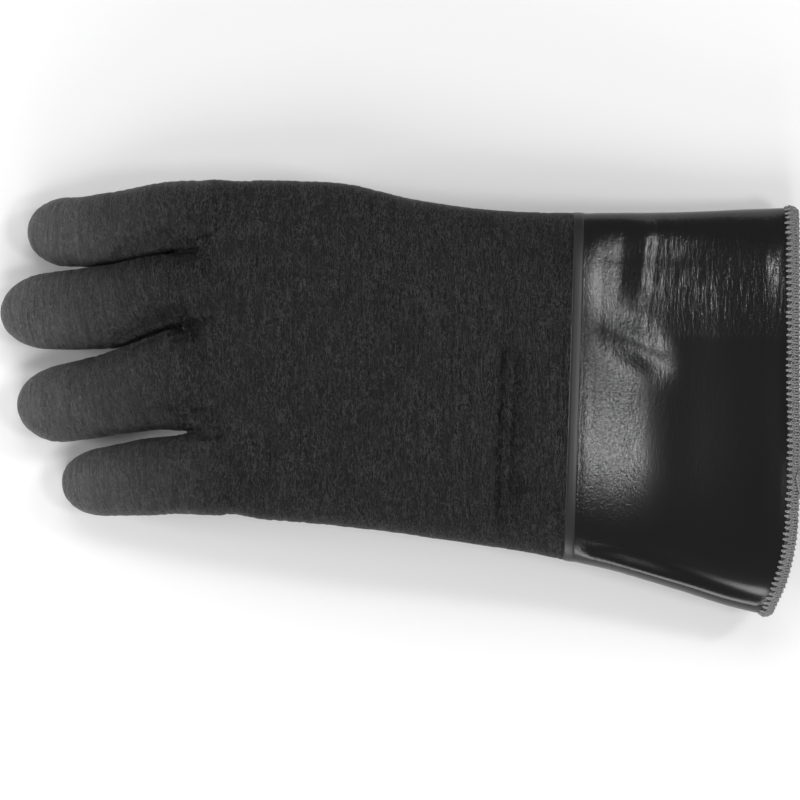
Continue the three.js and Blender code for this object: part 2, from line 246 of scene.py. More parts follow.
class Digit:
    def __init__(self, name, stations, height):
        self.name = name
        stations = np.array(stations, float)
        points = stations[:, :3]
        self.height = height
        self.curve = centre_line(points)
        self.length = self.curve["at"][-1]
        line = self.curve["line"]
        nearest = [np.linalg.norm(line - q, axis=1).argmin() for q in points]
        self.stations = self.curve["at"][nearest]
        self.widths = stations[:, 3]
        self.sunk = 0.9 if name == "thumb" else 0.62
        self.root = np.linalg.norm(points[1] - points[0])
        self.low = np.min(points, axis=0) - 28
        self.high = np.max(points, axis=0) + 28
        order = np.argsort(line[:, 0])
        self.side_view = line[order, 0], line[order, 2]

    def near(self, p):
        return np.flatnonzero(np.all((p > self.low) & (p < self.high), axis=1))

    def half_width(self, u):
        return table(np.clip(u, 0, self.length), self.stations, self.widths)

    def local(self, p):
        """(distance along the digit, across, up) of points."""
        c = self.curve
        nearest = np.empty(len(p), int)
        for k in range(0, len(p), 20000):
            q = p[k : k + 20000]
            gap = (q**2).sum(1)[:, None] - 2 * q @ c["line"].T + (c["line"] ** 2).sum(1)
            nearest[k : k + 20000] = gap.argmin(1)
        d = p - c["line"][nearest]
        u = c["at"][nearest] + (d * c["along"][nearest]).sum(1)
        return u, (d * c["across"][nearest]).sum(1), (d * c["up"][nearest]).sum(1)

    def distance(self, p):
        """About the distance to the digit's surface, negative inside, and the distance along it."""
        u, v, w = self.local(p)
        sunk = self.sunk + (1 - self.sunk) * smoothstep(u, 0, self.root + 2)
        a = self.half_width(u) * sunk
        b = self.height * sunk
        n = DIGIT_SQUARENESS
        dome = TIP_LENGTH * self.widths[-1]
        q = np.maximum(0, u - (self.length - dome)) / dome
        va, wb = np.abs(v) / a, np.abs(w) / b
        r = np.maximum((va**n + wb**n) ** (1 / n), 1e-3)
        g = np.sqrt(r * r + q * q)
        slope = np.sqrt(
            (r / g * r ** (1 - n) * va ** (n - 1) / a) ** 2
            + (r / g * r ** (1 - n) * wb ** (n - 1) / b) ** 2
            + (q / g / dome) ** 2
        )
        return self.pressed(p, np.maximum((g - 1) / np.maximum(slope, 0.03), -u)), u

    def pressed(self, p, distance):
        """The distance once the finger is flattened against its neighbours."""
        for pair, line in BETWEEN.items():
            if self.name in pair:
                side = 1 if pair[0] == self.name else -1
                above = p[:, 2] - np.interp(p[:, 0], *self.side_view)
                lean = PRESS_LEAN * above * smoothstep(p[:, 0], *LEAN_FADES)
                over = side * (p[:, 1] - table(p[:, 0], *line) - lean)
                clip = PRESS_GAP / 2 - over - 6 * smoothstep(p[:, 0], *PRESS_FADES)
                distance = -smooth_least(-distance, -clip, 2.5)
        return distance


digits = {name: Digit(name, stations, DIGIT_HEIGHTS[name]) for name, stations in DIGITS.items()}


def section(x):
    """Centre y and z, half width, half height, squareness above and below, at each x."""
    return [table(x, SLEEVE[:, 0], SLEEVE[:, k]) for k in range(1, 7)]


def sleeve_distance(p):
    y, z, a, b, upper, lower = section(p[:, 0])
    dy, dz = (p[:, 1] - y) / a, (p[:, 2] - z) / b
    n = np.where(dz > 0, upper, lower)
    dy, dz = np.abs(dy), np.abs(dz)
    g = np.maximum((dy**n + dz**n) ** (1 / n), 1e-3)
    slope = g ** (1 - n) * np.hypot(dy ** (n - 1) / a, dz ** (n - 1) / b)
    side = (g - 1) / np.maximum(slope, 0.03)
    end = KNUCKLE_END - p[:, 0]
    return -smooth_least(-side, -end, 10)


def smooth_least(a, b, k):
    h = np.maximum(k - np.abs(a - b), 0) / k
    return np.minimum(a, b) - h * h * k / 4


def softness(digit, u):
    """How softly a digit joins the palm: rounded at its root, not at all where it only lies beside it."""
    start = digit.root - 6 if digit.name != "thumb" else digit.root + 4
    return 0.3 + 6 * (1 - smoothstep(u, start, start + 14))


def skin_distance(p):
    """About the distance to the glove's outer surface, without wrinkles."""
    sleeve = sleeve_distance(p)
    least = sleeve.copy()
    for digit in digits.values():
        near = digit.near(p)
        if len(near):
            d, u = digit.distance(p[near])
            least[near] = np.minimum(least[near], smooth_least(sleeve[near], d, softness(digit, u)))
    return least


def owner(p):
    """Which digit each surface point is on (-1 for the palm) and how far along it."""
    best = sleeve_distance(p)
    who, along = np.full(len(p), -1), np.zeros(len(p))
    for k, digit in enumerate(digits.values()):
        near = digit.near(p)
        d, u = digit.distance(p[near])
        closer = d < best[near]
        best[near[closer]] = d[closer]
        who[near[closer]] = k
        along[near[closer]] = u[closer]
    return who, along


# ---- One mesh of the whole skin ----


def crowded(fine, density, count):
    """A number of places along fine, closer together where the density is higher."""
    run = np.cumsum(density)
    return np.interp(np.linspace(run[0], run[-1], count), run, fine)


def lattice(step):
    """Grid points that crowd together in the narrow gaps between fingers and over the thumb."""
    x = np.arange(-183, 86, step)
    fine = np.linspace(-106, 104, 2101)
    gaps = [table(x, *line) for line in BETWEEN.values()]
    y_lines = []
    count = int(210 / step + 3 * 2.8 * 5.5 / step)
    for i in range(len(x)):
        density = np.full(len(fine), 1 / step)
        for g in gaps:
            density += (4 / step) * bell((fine - g[i]) / 2.8) * float(x[i] < -70)
        y_lines.append(crowded(fine, density, count))
    fine = np.linspace(-2.5, 67, 700)
    density = 1 / step + (2 / step) * bell((fine - 27.4) / 1.6)
    z = crowded(fine, density, int(70 / step + 8))
    grid = np.empty((len(x), count, len(z), 3))
    grid[..., 0] = x[:, None, None]
    grid[..., 1] = np.array(y_lines)[:, :, None]
    grid[..., 2] = z
    return grid


def surface_net(grid, value):
    """Vertices and quads of the surface where value is zero on a grid of points."""
    inside = value < 0
    corners = list(itertools.product((0, 1), repeat=3))
    nx, ny, nz = value.shape

    def shifted(a, c):
        return a[c[0] : nx - 1 + c[0], c[1] : ny - 1 + c[1], c[2] : nz - 1 + c[2]]

    total = sum(shifted(inside, c).astype(np.int8) for c in corners)
    active = (total > 0) & (total < 8)
    cells = np.argwhere(active)
    number = np.full(active.shape, -1)
    number[active] = np.arange(len(cells))
    point = np.zeros((len(cells), 3))
    hits = np.zeros(len(cells))
    for a, b in itertools.combinations(corners, 2):
        if sum(x != y for x, y in zip(a, b)) != 1:
            continue
        ia, ib = tuple((cells + a).T), tuple((cells + b).T)
        va, vb = value[ia], value[ib]
        cross = (va < 0) != (vb < 0)
        t = np.where(cross, va / np.where(cross, va - vb, 1), 0)[:, None]
        point += np.where(cross[:, None], grid[ia] * (1 - t) + grid[ib] * t, 0)
        hits += cross
    point /= hits[:, None]
    quads = []
    for axis in range(3):
        step, a, b = np.roll(np.eye(3, dtype=int), -axis, axis=0)
        low = inside[: nx - step[0], : ny - step[1], : nz - step[2]]
        high = inside[step[0] :, step[1] :, step[2] :]
        at = np.argwhere(low != high)
        at = at[np.all((at >= a + b) & (at < active.shape), axis=1)]
        quad = np.column_stack([number[tuple((at - s).T)] for s in (a * 0, a, a + b, b)])
        flip = ~low[tuple(at.T)]
        quad[flip] = quad[flip][:, ::-1]
        quads.append(quad)
    quads = np.vstack(quads)
    quads = quads[np.all(quads >= 0, axis=1)]
    return point, quads


def gradient(distance, p, h=0.05):
    """Distance at p and its unit gradient."""
    here = distance(p)
    g = np.empty_like(p)
    for k in range(3):
        q = p.copy()
        q[:, k] += h
        g[:, k] = distance(q) - here
    g /= h
    size = np.linalg.norm(g, axis=1)[:, None]
    return here, g / np.maximum(size, 1e-6), np.maximum(size[:, 0], 0.3)


def quad_edges(quads):
    return np.vstack([quads[:, [k, (k + 1) % 4]] for k in range(4)])


def open_edges(quads, count):
    """The edges that only one quad has."""
    edges = quad_edges(quads)
    ordered = np.sort(edges, axis=1)
    key = ordered[:, 0].astype(np.int64) * count + ordered[:, 1]
    _, first, times = np.unique(key, return_index=True, return_counts=True)
    return edges[first[times == 1]]


def onto_surface(p, quads, distance):
    """Moves the points onto the surface and evens them out along it."""
    edges = quad_edges(quads)
    start, end = edges.T
    degree = np.bincount(edges.ravel(), minlength=len(p))[:, None]
    rim = np.unique(open_edges(quads, len(p)))

    def pulled(p):
        here, normal, size = gradient(distance, p)
        return p - normal * np.clip(here / size, -0.5, 0.5)[:, None], normal

    for _ in range(3):
        p, normal = pulled(p)
        sums = [
            np.bincount(start, p[end, k], len(p)) + np.bincount(end, p[start, k], len(p)) for k in range(3)
        ]
        move = (np.column_stack(sums) / degree - p) * 0.5
        move -= normal * (move * normal).sum(1)[:, None]
        move[rim] = 0
        p = p + move
    return pulled(p)[0]


def vertex_normals(p, quads):
    face = np.cross(p[quads[:, 2]] - p[quads[:, 0]], p[quads[:, 3]] - p[quads[:, 1]])
    normal = np.zeros_like(p)
    for k in range(4):
        for axis in range(3):
            normal[:, axis] += np.bincount(quads[:, k], face[:, axis], len(p))
    return unit(normal)


def grain_of(p, who, along):
    """Coordinates that follow the rubber's grain: along each digit or the hand, across it, and up."""
    grain = p.copy()
    for k, digit in enumerate(digits.values()):
        mine = np.flatnonzero(who == k)
        u, v, w = digit.local(p[mine])
        root = digit.curve["line"][np.searchsorted(digit.curve["at"], digit.root)]
        own = np.column_stack([root[0] - (u - digit.root), root[1] - v, root[2] + w])
        share = smoothstep(u, digit.root - 12, digit.root + 16)[:, None]
        grain[mine] = p[mine] * (1 - share) + own * share
    return grain


# Folds on the back of the hand: from (x, y), to (x, y), half width, height.
FOLDS = [
    (-123, 66, -99, 72.5, 5.2, -2.4), (-93.5, 70.4, -82.8, 75.8, 1.8, 0.9),
    (-96, 69.5, -86, 71.5, 1.8, -1.2), (-122, 28, -98, 37.5, 4.4, -2.3), (-96, 33, -84, 35.5, 2.2, -1.6),
    (-106, 29, -94, 30.5, 1.6, 0.6), (-106, -6, -84, -7.5, 4.6, -2.2), (-90, -11.5, -79, -10.4, 1.7, 1.0),
    (-91, -15, -78, -14.5, 2.0, -1.1), (-73, 76, -71.6, 32, 0.9, 0.45), (-81.5, 96, -80.5, 70, 0.9, -0.4),
    (-61, 80, -62, 44, 0.9, 0.35), (-68, 22, -69.5, -4, 1.0, 0.4), (-76, 12, -78, -6, 1.0, -0.4),
    (-48, 70, -47, 30, 1.0, 0.3),
]
FOLDS += [(-86.5 + 4.4 * k, -30, -81.5 + 4.6 * k, -16 + k, 1.0, 0.5) for k in range(7)]
FOLDS += [(-103 + 4.7 * k, -47, -99.5 + 4.7 * k, -33, 1.0, 0.45) for k in range(9)]


def folds(p, normal):
    """How far the folds lift the skin: on its upper side only, as they would open the fingers' gaps."""
    total = np.zeros(len(p))
    on_top = np.flatnonzero((p[:, 2] > 26) & (p[:, 0] < -30))
    q = p[on_top, :2]
    for x0, y0, x1, y1, width, height in FOLDS:
        a, d = np.array([x0, y0]), np.array([x1 - x0, y1 - y0])
        t = np.clip((q - a) @ d / (d @ d), 0, 1)
        gap = np.linalg.norm(q - a - t[:, None] * d, axis=1)
        total[on_top] += height * bell(gap / width)
    return np.maximum(total, -2.5) * smoothstep(normal[:, 2], 0.15, 0.65)


def wrinkles(p, grain, who):
    """How far the crinkled skin stands out from the smooth shape."""
    on_digit = (who >= 0).astype(float)
    rings = noise(grain / (2.4, 26, 26), 1) + 0.6 * noise(grain / (1.5, 14, 14), 2)
    rings = 0.5 - np.abs(rings)
    broad = noise(p / 30, 3) * 0.5 + noise(p / (14, 22, 22), 4) * 0.22
    crease_x = 45.5 + 1.2 * np.sin(p[:, 1] / 21)
    window = smoothstep(p[:, 1], -70, -45) * (1 - smoothstep(p[:, 1], 18, 34)) * (p[:, 2] > 45)
    crease = 0.8 * bell((p[:, 0] - crease_x - 3.0) / 1.7) - 0.8 * bell((p[:, 0] - crease_x) / 1.4)
    fade = 1 - 0.85 * smoothstep(p[:, 0] - cuff_start(p[:, 1]), -14, -1)
    tight = bell((p[:, 0] + 55) / 45) * 0.18
    return rings * (0.18 + 0.16 * on_digit + tight) + (broad + crease * window) * fade


def tip_wear_and_painted_sheen(who, along):
    """How much lighter grey the rubber is painted: grey at the fingertips, black on the hand; partly wear,
    partly a painted sheen.
    """
    wear = np.zeros(len(who))
    for k, digit in enumerate(digits.values()):
        mine = who == k
        wear[mine] = np.interp(digit.length - along[mine], [0, 12, 45, 85], [1, 0.95, 0.33, 0])
    return wear


def make_skin(step, level, wrinkled):
    """The whole glove's surface at a level, negative under the outer shape, with what its points know."""

    def distance(q):
        return skin_distance(q) - level

    grid = lattice(step)
    value = distance(grid.reshape(-1, 3)).reshape(grid.shape[:3])
    p, quads = surface_net(grid, value)
    p = onto_surface(p, quads, distance)
    who, along = owner(p)
    grain = grain_of(p, who, along)
    normal = vertex_normals(p, quads)
    lift = folds(p, normal)
    if wrinkled:
        lift += wrinkles(p, grain, who)
    p = p + normal * lift[:, None]
    p[:, 2] = np.maximum(p[:, 2], TABLE_GAP)
    normal = vertex_normals(p, quads)
    # Lighter grey towards the fingertips: partly wear, partly a painted sheen.
    wear = tip_wear_and_painted_sheen(who, along)
    return {"p": p, "quads": quads, "normal": normal, "who": who, "grain": grain, "wear": wear}


# ---- Cutting the skin into pieces ----


def hinge_at(name):
    return np.array(joints[name]["pos_m"]) / MM


def digit_direction(digit, at):
    """The digit's direction at a point, level for the thumb."""
    nearest = np.linalg.norm(digit.curve["line"] - at, axis=1).argmin()
    along = digit.curve["along"][nearest].copy()
    if digit.name == "thumb":
        along[2] = 0
    return along / np.linalg.norm(along)


# How far a bend reaches before and after its hinge.
BEND = {"base": (8, 12), "middle": (9, 11)}
THUMB_BEND = {"base": (7, 14), "middle": (10, 12)}


def bends(digit):
    """Start, end and direction of the digit's two bends."""
    reach = THUMB_BEND if digit.name == "thumb" else BEND
    out = {}
    for place in ("base", "middle"):
        at = hinge_at(f"{digit.name}_{place}_bend")
        along = digit_direction(digit, at)
        before, after = reach[place]
        out[place] = (at - along * before, at + along * after, along)
    return out


def piece_labels(skin):
    """The number of each quad's piece, -1 for the quads under the cuff, and the pieces' names."""
    centre = skin["p"][skin["quads"]].mean(1)
    owners = skin["who"][skin["quads"]]
    labels = np.zeros(len(centre), int)
    names = ["hand"]
    for k, digit in enumerate(digits.values()):
        mine = np.all(owners == k, axis=1)
        b = bends(digit)
        start, _, along = b["base"]
        past_base = mine & (((centre - start) @ along) > -0.8)
        cut = (b["base"][1] + b["middle"][0]) / 2
        past_middle = past_base & (((centre - cut) @ b["middle"][2]) > 0)
        labels[past_base] = len(names)
        names.append(f"{digit.name}_base")
        labels[past_middle] = len(names)
        names.append(f"{digit.name}_tip")
    labels[centre[:, 0] > cuff_start(centre[:, 1]) + CUFF_OVERLAP] = -1
    return labels, names


def fill(items, key, values, kind=np.float32):
    items.foreach_set(key, values.astype(kind).ravel())


def new_object(name, data):
    obj = bpy.data.objects.new(name, data)
    bpy.context.scene.collection.objects.link(obj)
    return obj


def new_mesh(name, points, faces, material, grain, normals=None, wear=None):
    mesh = bpy.data.meshes.new(name)
    mesh.vertices.add(len(points))
    fill(mesh.vertices, "co", points * MM)
    mesh.loops.add(faces.size)
    fill(mesh.loops, "vertex_index", faces, np.int32)
    mesh.polygons.add(len(faces))
    fill(mesh.polygons, "loop_start", np.arange(len(faces)) * faces.shape[1], np.int32)
    mesh.update(calc_edges=True)
    mesh.polygons.foreach_set("use_smooth", [True] * len(faces))
    fill(mesh.attributes.new("grain", "FLOAT_VECTOR", "POINT").data, "vector", grain)
    if wear is not None:
        fill(mesh.attributes.new("wear", "FLOAT", "POINT").data, "value", wear)
    mesh.validate()
    if normals is not None:
        mesh.normals_split_custom_set_from_vertices(normals)
    mesh.materials.append(material)
    return new_object(name, mesh)


def thick_piece(name, skin, faces, thickness, material):
    """A closed piece: the chosen faces, the same faces moved in, and a rim round their edge."""
    quads = skin["quads"][faces]
    used, index = np.unique(quads, return_inverse=True)
    quads = index.reshape(-1, 4)
    outer = skin["p"][used]
    normal = skin["normal"][used]
    inner = outer - normal * thickness
    inner[:, 2] = np.maximum(inner[:, 2], 0.3)
    count = len(used)
    rim = open_edges(quads, count)
    rim_faces = np.column_stack([rim[:, 1], rim[:, 0], rim[:, 0] + count, rim[:, 1] + count])
    faces = np.vstack([quads, quads[:, ::-1] + count, rim_faces])
    grain, wear = np.vstack([skin["grain"][used]] * 2), np.tile(skin["wear"][used], 2)
    points, normals = np.vstack([outer, inner]), np.vstack([normal, -normal])
    return new_mesh(name, points, faces, material, grain, normals, wear)


def build_skin(skin, suffix, thickness, material):
    """The skin's pieces by name."""
    labels, names = piece_labels(skin)
    made = {}
    for k, name in enumerate(names):
        made[name] = thick_piece(f"{name}_{suffix}", skin, labels == k, thickness, material)
    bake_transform(made["hand"])
    for digit in digits.values():
        b = bends(digit)
        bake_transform(made[f"{digit.name}_base"])
        tip = f"{digit.name}_tip"
        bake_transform(made[tip])
    return made


# ---- Cuff, hem and lining ----

COLUMNS = 440


def even_angles(count):
    """Section angles that are evenly spaced round the cuff."""
    phi = np.linspace(0, 2 * np.pi, 4001)
    run = run_along(sleeve_point(np.full(len(phi), CUFF_MIDDLE), phi, 0))
    return np.interp(np.linspace(0, run[-1], count, endpoint=False), run, phi)


def sleeve_point(x, phi, out):
    """Points of the sleeve's sections, moved out of its surface by out."""
    y, z, a, b, upper, lower = section(x)
    n = np.where(np.sin(phi) > 0, upper, lower)
    c, s = np.cos(phi), np.sin(phi)
    y = y + (a + out) * np.sign(c) * np.abs(c) ** (2 / n)
    return np.column_stack([x, y, z + (b + out) * np.sign(s) * np.abs(s) ** (2 / n)])


def cuff_point(phi, share, from_start, out):
    """A point a share of the way from the cuff's start line to its mouth, plus a distance along X."""
    x = np.full(len(phi), CUFF_MIDDLE)
    for _ in range(6):
        y = sleeve_point(x, phi, out)[:, 1]
        x = cuff_start(y) + from_start + share * (mouth(y) - cuff_start(y) - from_start)
    return sleeve_point(x, phi, out)


def cuff_grid(phi, shares, from_start, out):
    """Points of shape (rows, columns, 3), with the cuff's relief."""
    rows = [cuff_point(phi, t, from_start, o) for t, o in zip(shares, out)]
    flat = np.vstack(rows)
    normal = vertex_normals(flat, grid_quads(len(rows), len(phi)))
    return (flat + normal * cuff_relief(flat)[:, None]).reshape(len(rows), len(phi), 3)


def grid_quads(rows, columns, offset=0):
    """Quads of a grid that closes round its columns."""
    i, j = np.meshgrid(np.arange(rows - 1), np.arange(columns), indexing="ij")
    k = (j + 1) % columns
    q = np.stack([i * columns + j, i * columns + k, (i + 1) * columns + k, (i + 1) * columns + j], -1)
    return q.reshape(-1, 4) + offset


def creased(p):
    """How creased the smooth rubber is: most on the thumb's side, from the dents to the mouth."""
    x, y = p[:, 0], p[:, 1]
    near = 1 - smoothstep(x, 98, 110)
    high = smoothstep(x, 104, 112) * smoothstep(y, 24, 50) * (1 - smoothstep(y, 76, 86))
    slide = bell((x - 109 + 0.18 * (y - 40)) / 6) * bell((y - 32) / 16)
    return 0.08 + 0.22 * near + 1.7 * np.maximum(high, 0.6 * slide)


# Height of the cuff's dents along X: x, then share of the dent's height, or height for the trough.
SAG = np.array([(76, 82, 102, 110, 135, 160, 170), (0, 0.16, 0.9, 1, 0.45, 0.1, 0)])
SLUMP = np.array([(76, 82, 92, 102, 108, 124, 130), (0, 0.02, 0.5, 0.97, 1, 0.05, 0)])
TROUGH = np.array([(97.5, 99, 107, 108.3, 112.8, 150), (0, 0.12, 1.4, 1.42, 0.4, 0)])


def cuff_relief(p):
    """How far the smooth cuff stands out from its shape: ripples, dents and the fold at its lower edge."""
    x, y = p[:, 0], p[:, 1]
    top = smoothstep(p[:, 2], 23, 33)
    centre, _, a, *_ = section(x)
    middle = smoothstep(y - centre + a, 2, 14) * (1 - smoothstep(y, 62, 80)) * top
    slant = x - 0.12 * y
    ripples = 0.06 * noise(np.column_stack([slant / 2.4, y / 11, p[:, 2] / 14]), 11)
    ripples += 0.035 * noise(np.column_stack([slant / 1.5, y / 7, p[:, 2] / 9]), 12)
    broad = 0.3 * noise(p / (34, 44, 44), 13) + 0.1 * noise(p / (11, 34, 34), 14)
    sag = -2.3 * table(x, *SAG) * middle
    upper = smoothstep(y, 38, 54) * (1 - smoothstep(y, 72, 84)) * top
    across = x - (y - 60) * 0.09
    trough = np.interp(across, *TROUGH) * upper
    slump = 1.7 * table(x, *SLUMP) * top
    slump *= bell((y - 27 + 0.4 * (x - 98)) / 9)
    to_mouth = x - mouth(y)
    pinch = 2.3 * smoothstep(to_mouth, -46, -18) * (1 - smoothstep(to_mouth, -16, -5)) * top
    pinch *= 0.15 + 0.85 * bell((y - 65) / 16)
    side = (centre - y) - (a - 3.2)
    fold = (0.55 * bell(side / 2.4) - 0.35 * bell((side + 5.2) / 2.4)) * smoothstep(p[:, 2], 20, 27)
    start = smoothstep(x - cuff_start(y), 4.5, 14) * (1 - smoothstep(to_mouth, -9, -4))
    return (ripples * creased(p) + broad + trough + slump + sag + fold + pinch) * start


def closed_shell(name, outer, inner, material, creases=None):
    """A tube with a wall: an outer and an inner grid joined at both ends."""
    rows, columns = outer.shape[:2]
    points = np.vstack([outer.reshape(-1, 3), inner.reshape(-1, 3)])
    wear = creases(points) if creases else None
    o = grid_quads(rows, columns)
    i = grid_quads(rows, columns, rows * columns)[:, ::-1]
    j = np.arange(columns)
    k = (j + 1) % columns
    n = rows * columns
    near = np.column_stack([k, j, j + n, k + n])
    far = np.column_stack([j, k, k + n, j + n]) + (rows - 1) * columns
    return new_mesh(name, points, np.vstack([o, i, near, far]), material, grain=points, wear=wear)


PHI = even_angles(COLUMNS)
# Height of the lap's edge over the crinkled skin, by distance from the cuff's start.
LAP = [(0, 0.12, 0.35, 0.8, 3.0, 3.6, 4.5, 5.5), (-0.35, 0.05, 0.2, 0.3, 0.27, 0.2, 0.1, 0.02)]
LAP_END = 4.7  # where the lap's piece ends and the smooth cuff's goes on
CUFF_TABLE_GAP = 0.35  # least height of the cuff's rubber over the table: the threads are lower
LINING_START, LINING_REACH = 4.5, 100.2


def build_cuff(material, lap_material):
    steps = np.r_[0, 0.12, 0.35, 0.8, 1.4, 2.2, 3.0, 3.6, 4.1, 4.5, 4.9, 5.5, 6.2]
    steps = np.r_[steps, np.linspace(7, 99.6, 140), 99.8]
    shares = steps / CUFF_LENGTH
    lap = np.interp(steps, *LAP)
    lap[-1] -= 0.5
    outer = cuff_grid(PHI, shares, 0, lap)
    under = np.interp(steps, [0, CUFF_OVERLAP + 0.3, CUFF_OVERLAP + 0.7], [-0.6, -0.6, -COATING])
    inner = cuff_grid(PHI, shares, 0, under)
    outer[..., 2] = np.maximum(outer[..., 2], CUFF_TABLE_GAP)
    k = int(np.searchsorted(steps, LAP_END))
    return (
        closed_shell("cuff_skin", outer[k - 1 :], inner[k - 1 :], material, creased),
        closed_shell("cuff_lap", outer[:k], inner[:k], lap_material),
    )


def build_cuff_lining(material):
    steps = np.r_[np.arange(0, 96, 1.6), 96.6, 97]
    shares = steps / LINING_REACH
    outer = cuff_grid(PHI[::2], shares, LINING_START, np.full(len(steps), -LINING_OUT))
    inner = cuff_grid(PHI[::2], shares, LINING_START, np.full(len(steps), -LINING_IN - 0.02))
    return closed_shell("cuff_lining_knit", outer, inner, material)


def tube(path, radius, sides=7, closed=False):
    """Points, quads and grain (along, round) of a round tube along a path of points."""
    path = np.asarray(path, float)
    n = len(path)
    along = np.roll(path, -1, 0) - np.roll(path, 1, 0) if closed else np.gradient(path, axis=0)
    along = unit(along)
    side = np.empty_like(path)
    side[0] = np.cross(along[0], (0.3, 0.5, 0.8))
    for k in range(n):
        s = side[k - 1] if k else side[0]
        s = s - along[k] * (s @ along[k])
        side[k] = s / np.linalg.norm(s)
    up = np.cross(along, side)
    t = np.arange(sides) * 2 * np.pi / sides
    radius = np.broadcast_to(radius, n)[:, None, None]
    ring = path[:, None] + radius * (side[:, None] * np.cos(t)[:, None] + up[:, None] * np.sin(t)[:, None])
    rows = np.arange(n if closed else n - 1)
    i, j = np.meshgrid(rows, np.arange(sides), indexing="ij")
    a, b = (i + 1) % n, (j + 1) % sides
    quads = np.stack([i * sides + j, a * sides + j, a * sides + b, i * sides + b], -1).reshape(-1, 4)
    grain = np.stack(np.broadcast_arrays(run_along(path)[:, None], t[None, :], 0.0), -1).reshape(-1, 3)
    return ring.reshape(-1, 3), quads[:, ::-1], grain


def tubes(name, parts, material):
    """One mesh of several tubes."""
    points, quads, grain, offset = [], [], [], 0
    for p, q, g in parts:
        points.append(p)
        quads.append(q + offset)
        grain.append(g)
        offset += len(p)
    return new_mesh(name, np.vstack(points), np.vstack(quads), material, grain=np.vstack(grain))


PITCH = 2.6  # from stitch to stitch of the hem
STITCH_JITTER = 0.2
THREAD_TABLE_GAP = 0.03
THREAD = 0.36  # radius of a loose thread
TAIL_LENGTH = 12
ZIGZAG = 3  # length of a stitch of the lining's seams


class Edge:
    """The cuff's mouth: turns (distance round it, distance in from its edge, height) into points."""

    def __init__(self):
        phi = np.linspace(0, 2 * np.pi, 1441)[:-1]
        rim = cuff_point(phi, 1 - RIM_BACK / CUFF_LENGTH, 0, 0)
        back = cuff_point(phi, 0.94, 0, 0)
        self.rim = np.vstack([rim, rim[:1]])
        self.run = run_along(self.rim)
        self.length = self.run[-1]
        inward = unit(back - rim)
        out = unit(np.cross(inward, np.roll(rim, -1, 0) - np.roll(rim, 1, 0)))
        out *= np.sign((out * (rim - rim.mean(0))).sum(1))[:, None]
        self.inward = np.vstack([inward, inward[:1]])
        self.out = np.vstack([out, out[:1]])
        self.radius = LINING_IN / 2

    def at(self, q, v, h):
        q = np.mod(q, self.length)
        m, a, n = [read_at(q, self.run, values) for values in (self.rim, self.inward, self.out)]
        r = self.radius
        v, h = [np.broadcast_to(x, q.shape)[:, None] for x in (v, h)]
        outside = m + a * v + n * h
        angle = np.clip(-v / r, 0, np.pi)
        turn = m - n * r + (n * np.cos(angle) - a * np.sin(angle)) * (r + h)
        inside = m - n * (2 * r + h) + a * (-v - np.pi * r)
        return np.where(v >= 0, outside, np.where(v > -np.pi * r, turn, inside))


def stitches(edge, pattern, count, samples, seed):
    """A thread that repeats a pattern of (share of a stitch, depth, height) all round the edge."""
    rng = np.random.default_rng(seed)
    pattern = np.array(pattern, float)
    t = np.linspace(0, 1, samples, endpoint=False)
    knots = np.linspace(0, 1, len(pattern))
    share, depth, height = [table(t, knots, pattern[:, k]) for k in range(3)]
    pitch = edge.length / count
    wobble = rng.normal(0, STITCH_JITTER, (count, 2))
    q = (np.arange(count)[:, None] + share) * pitch + wobble[:, :1] * np.sin(np.pi * share)
    v = depth + wobble[:, 1:] * np.sin(np.pi * share)
    return edge.at(q.ravel(), v.ravel(), np.tile(height, count))


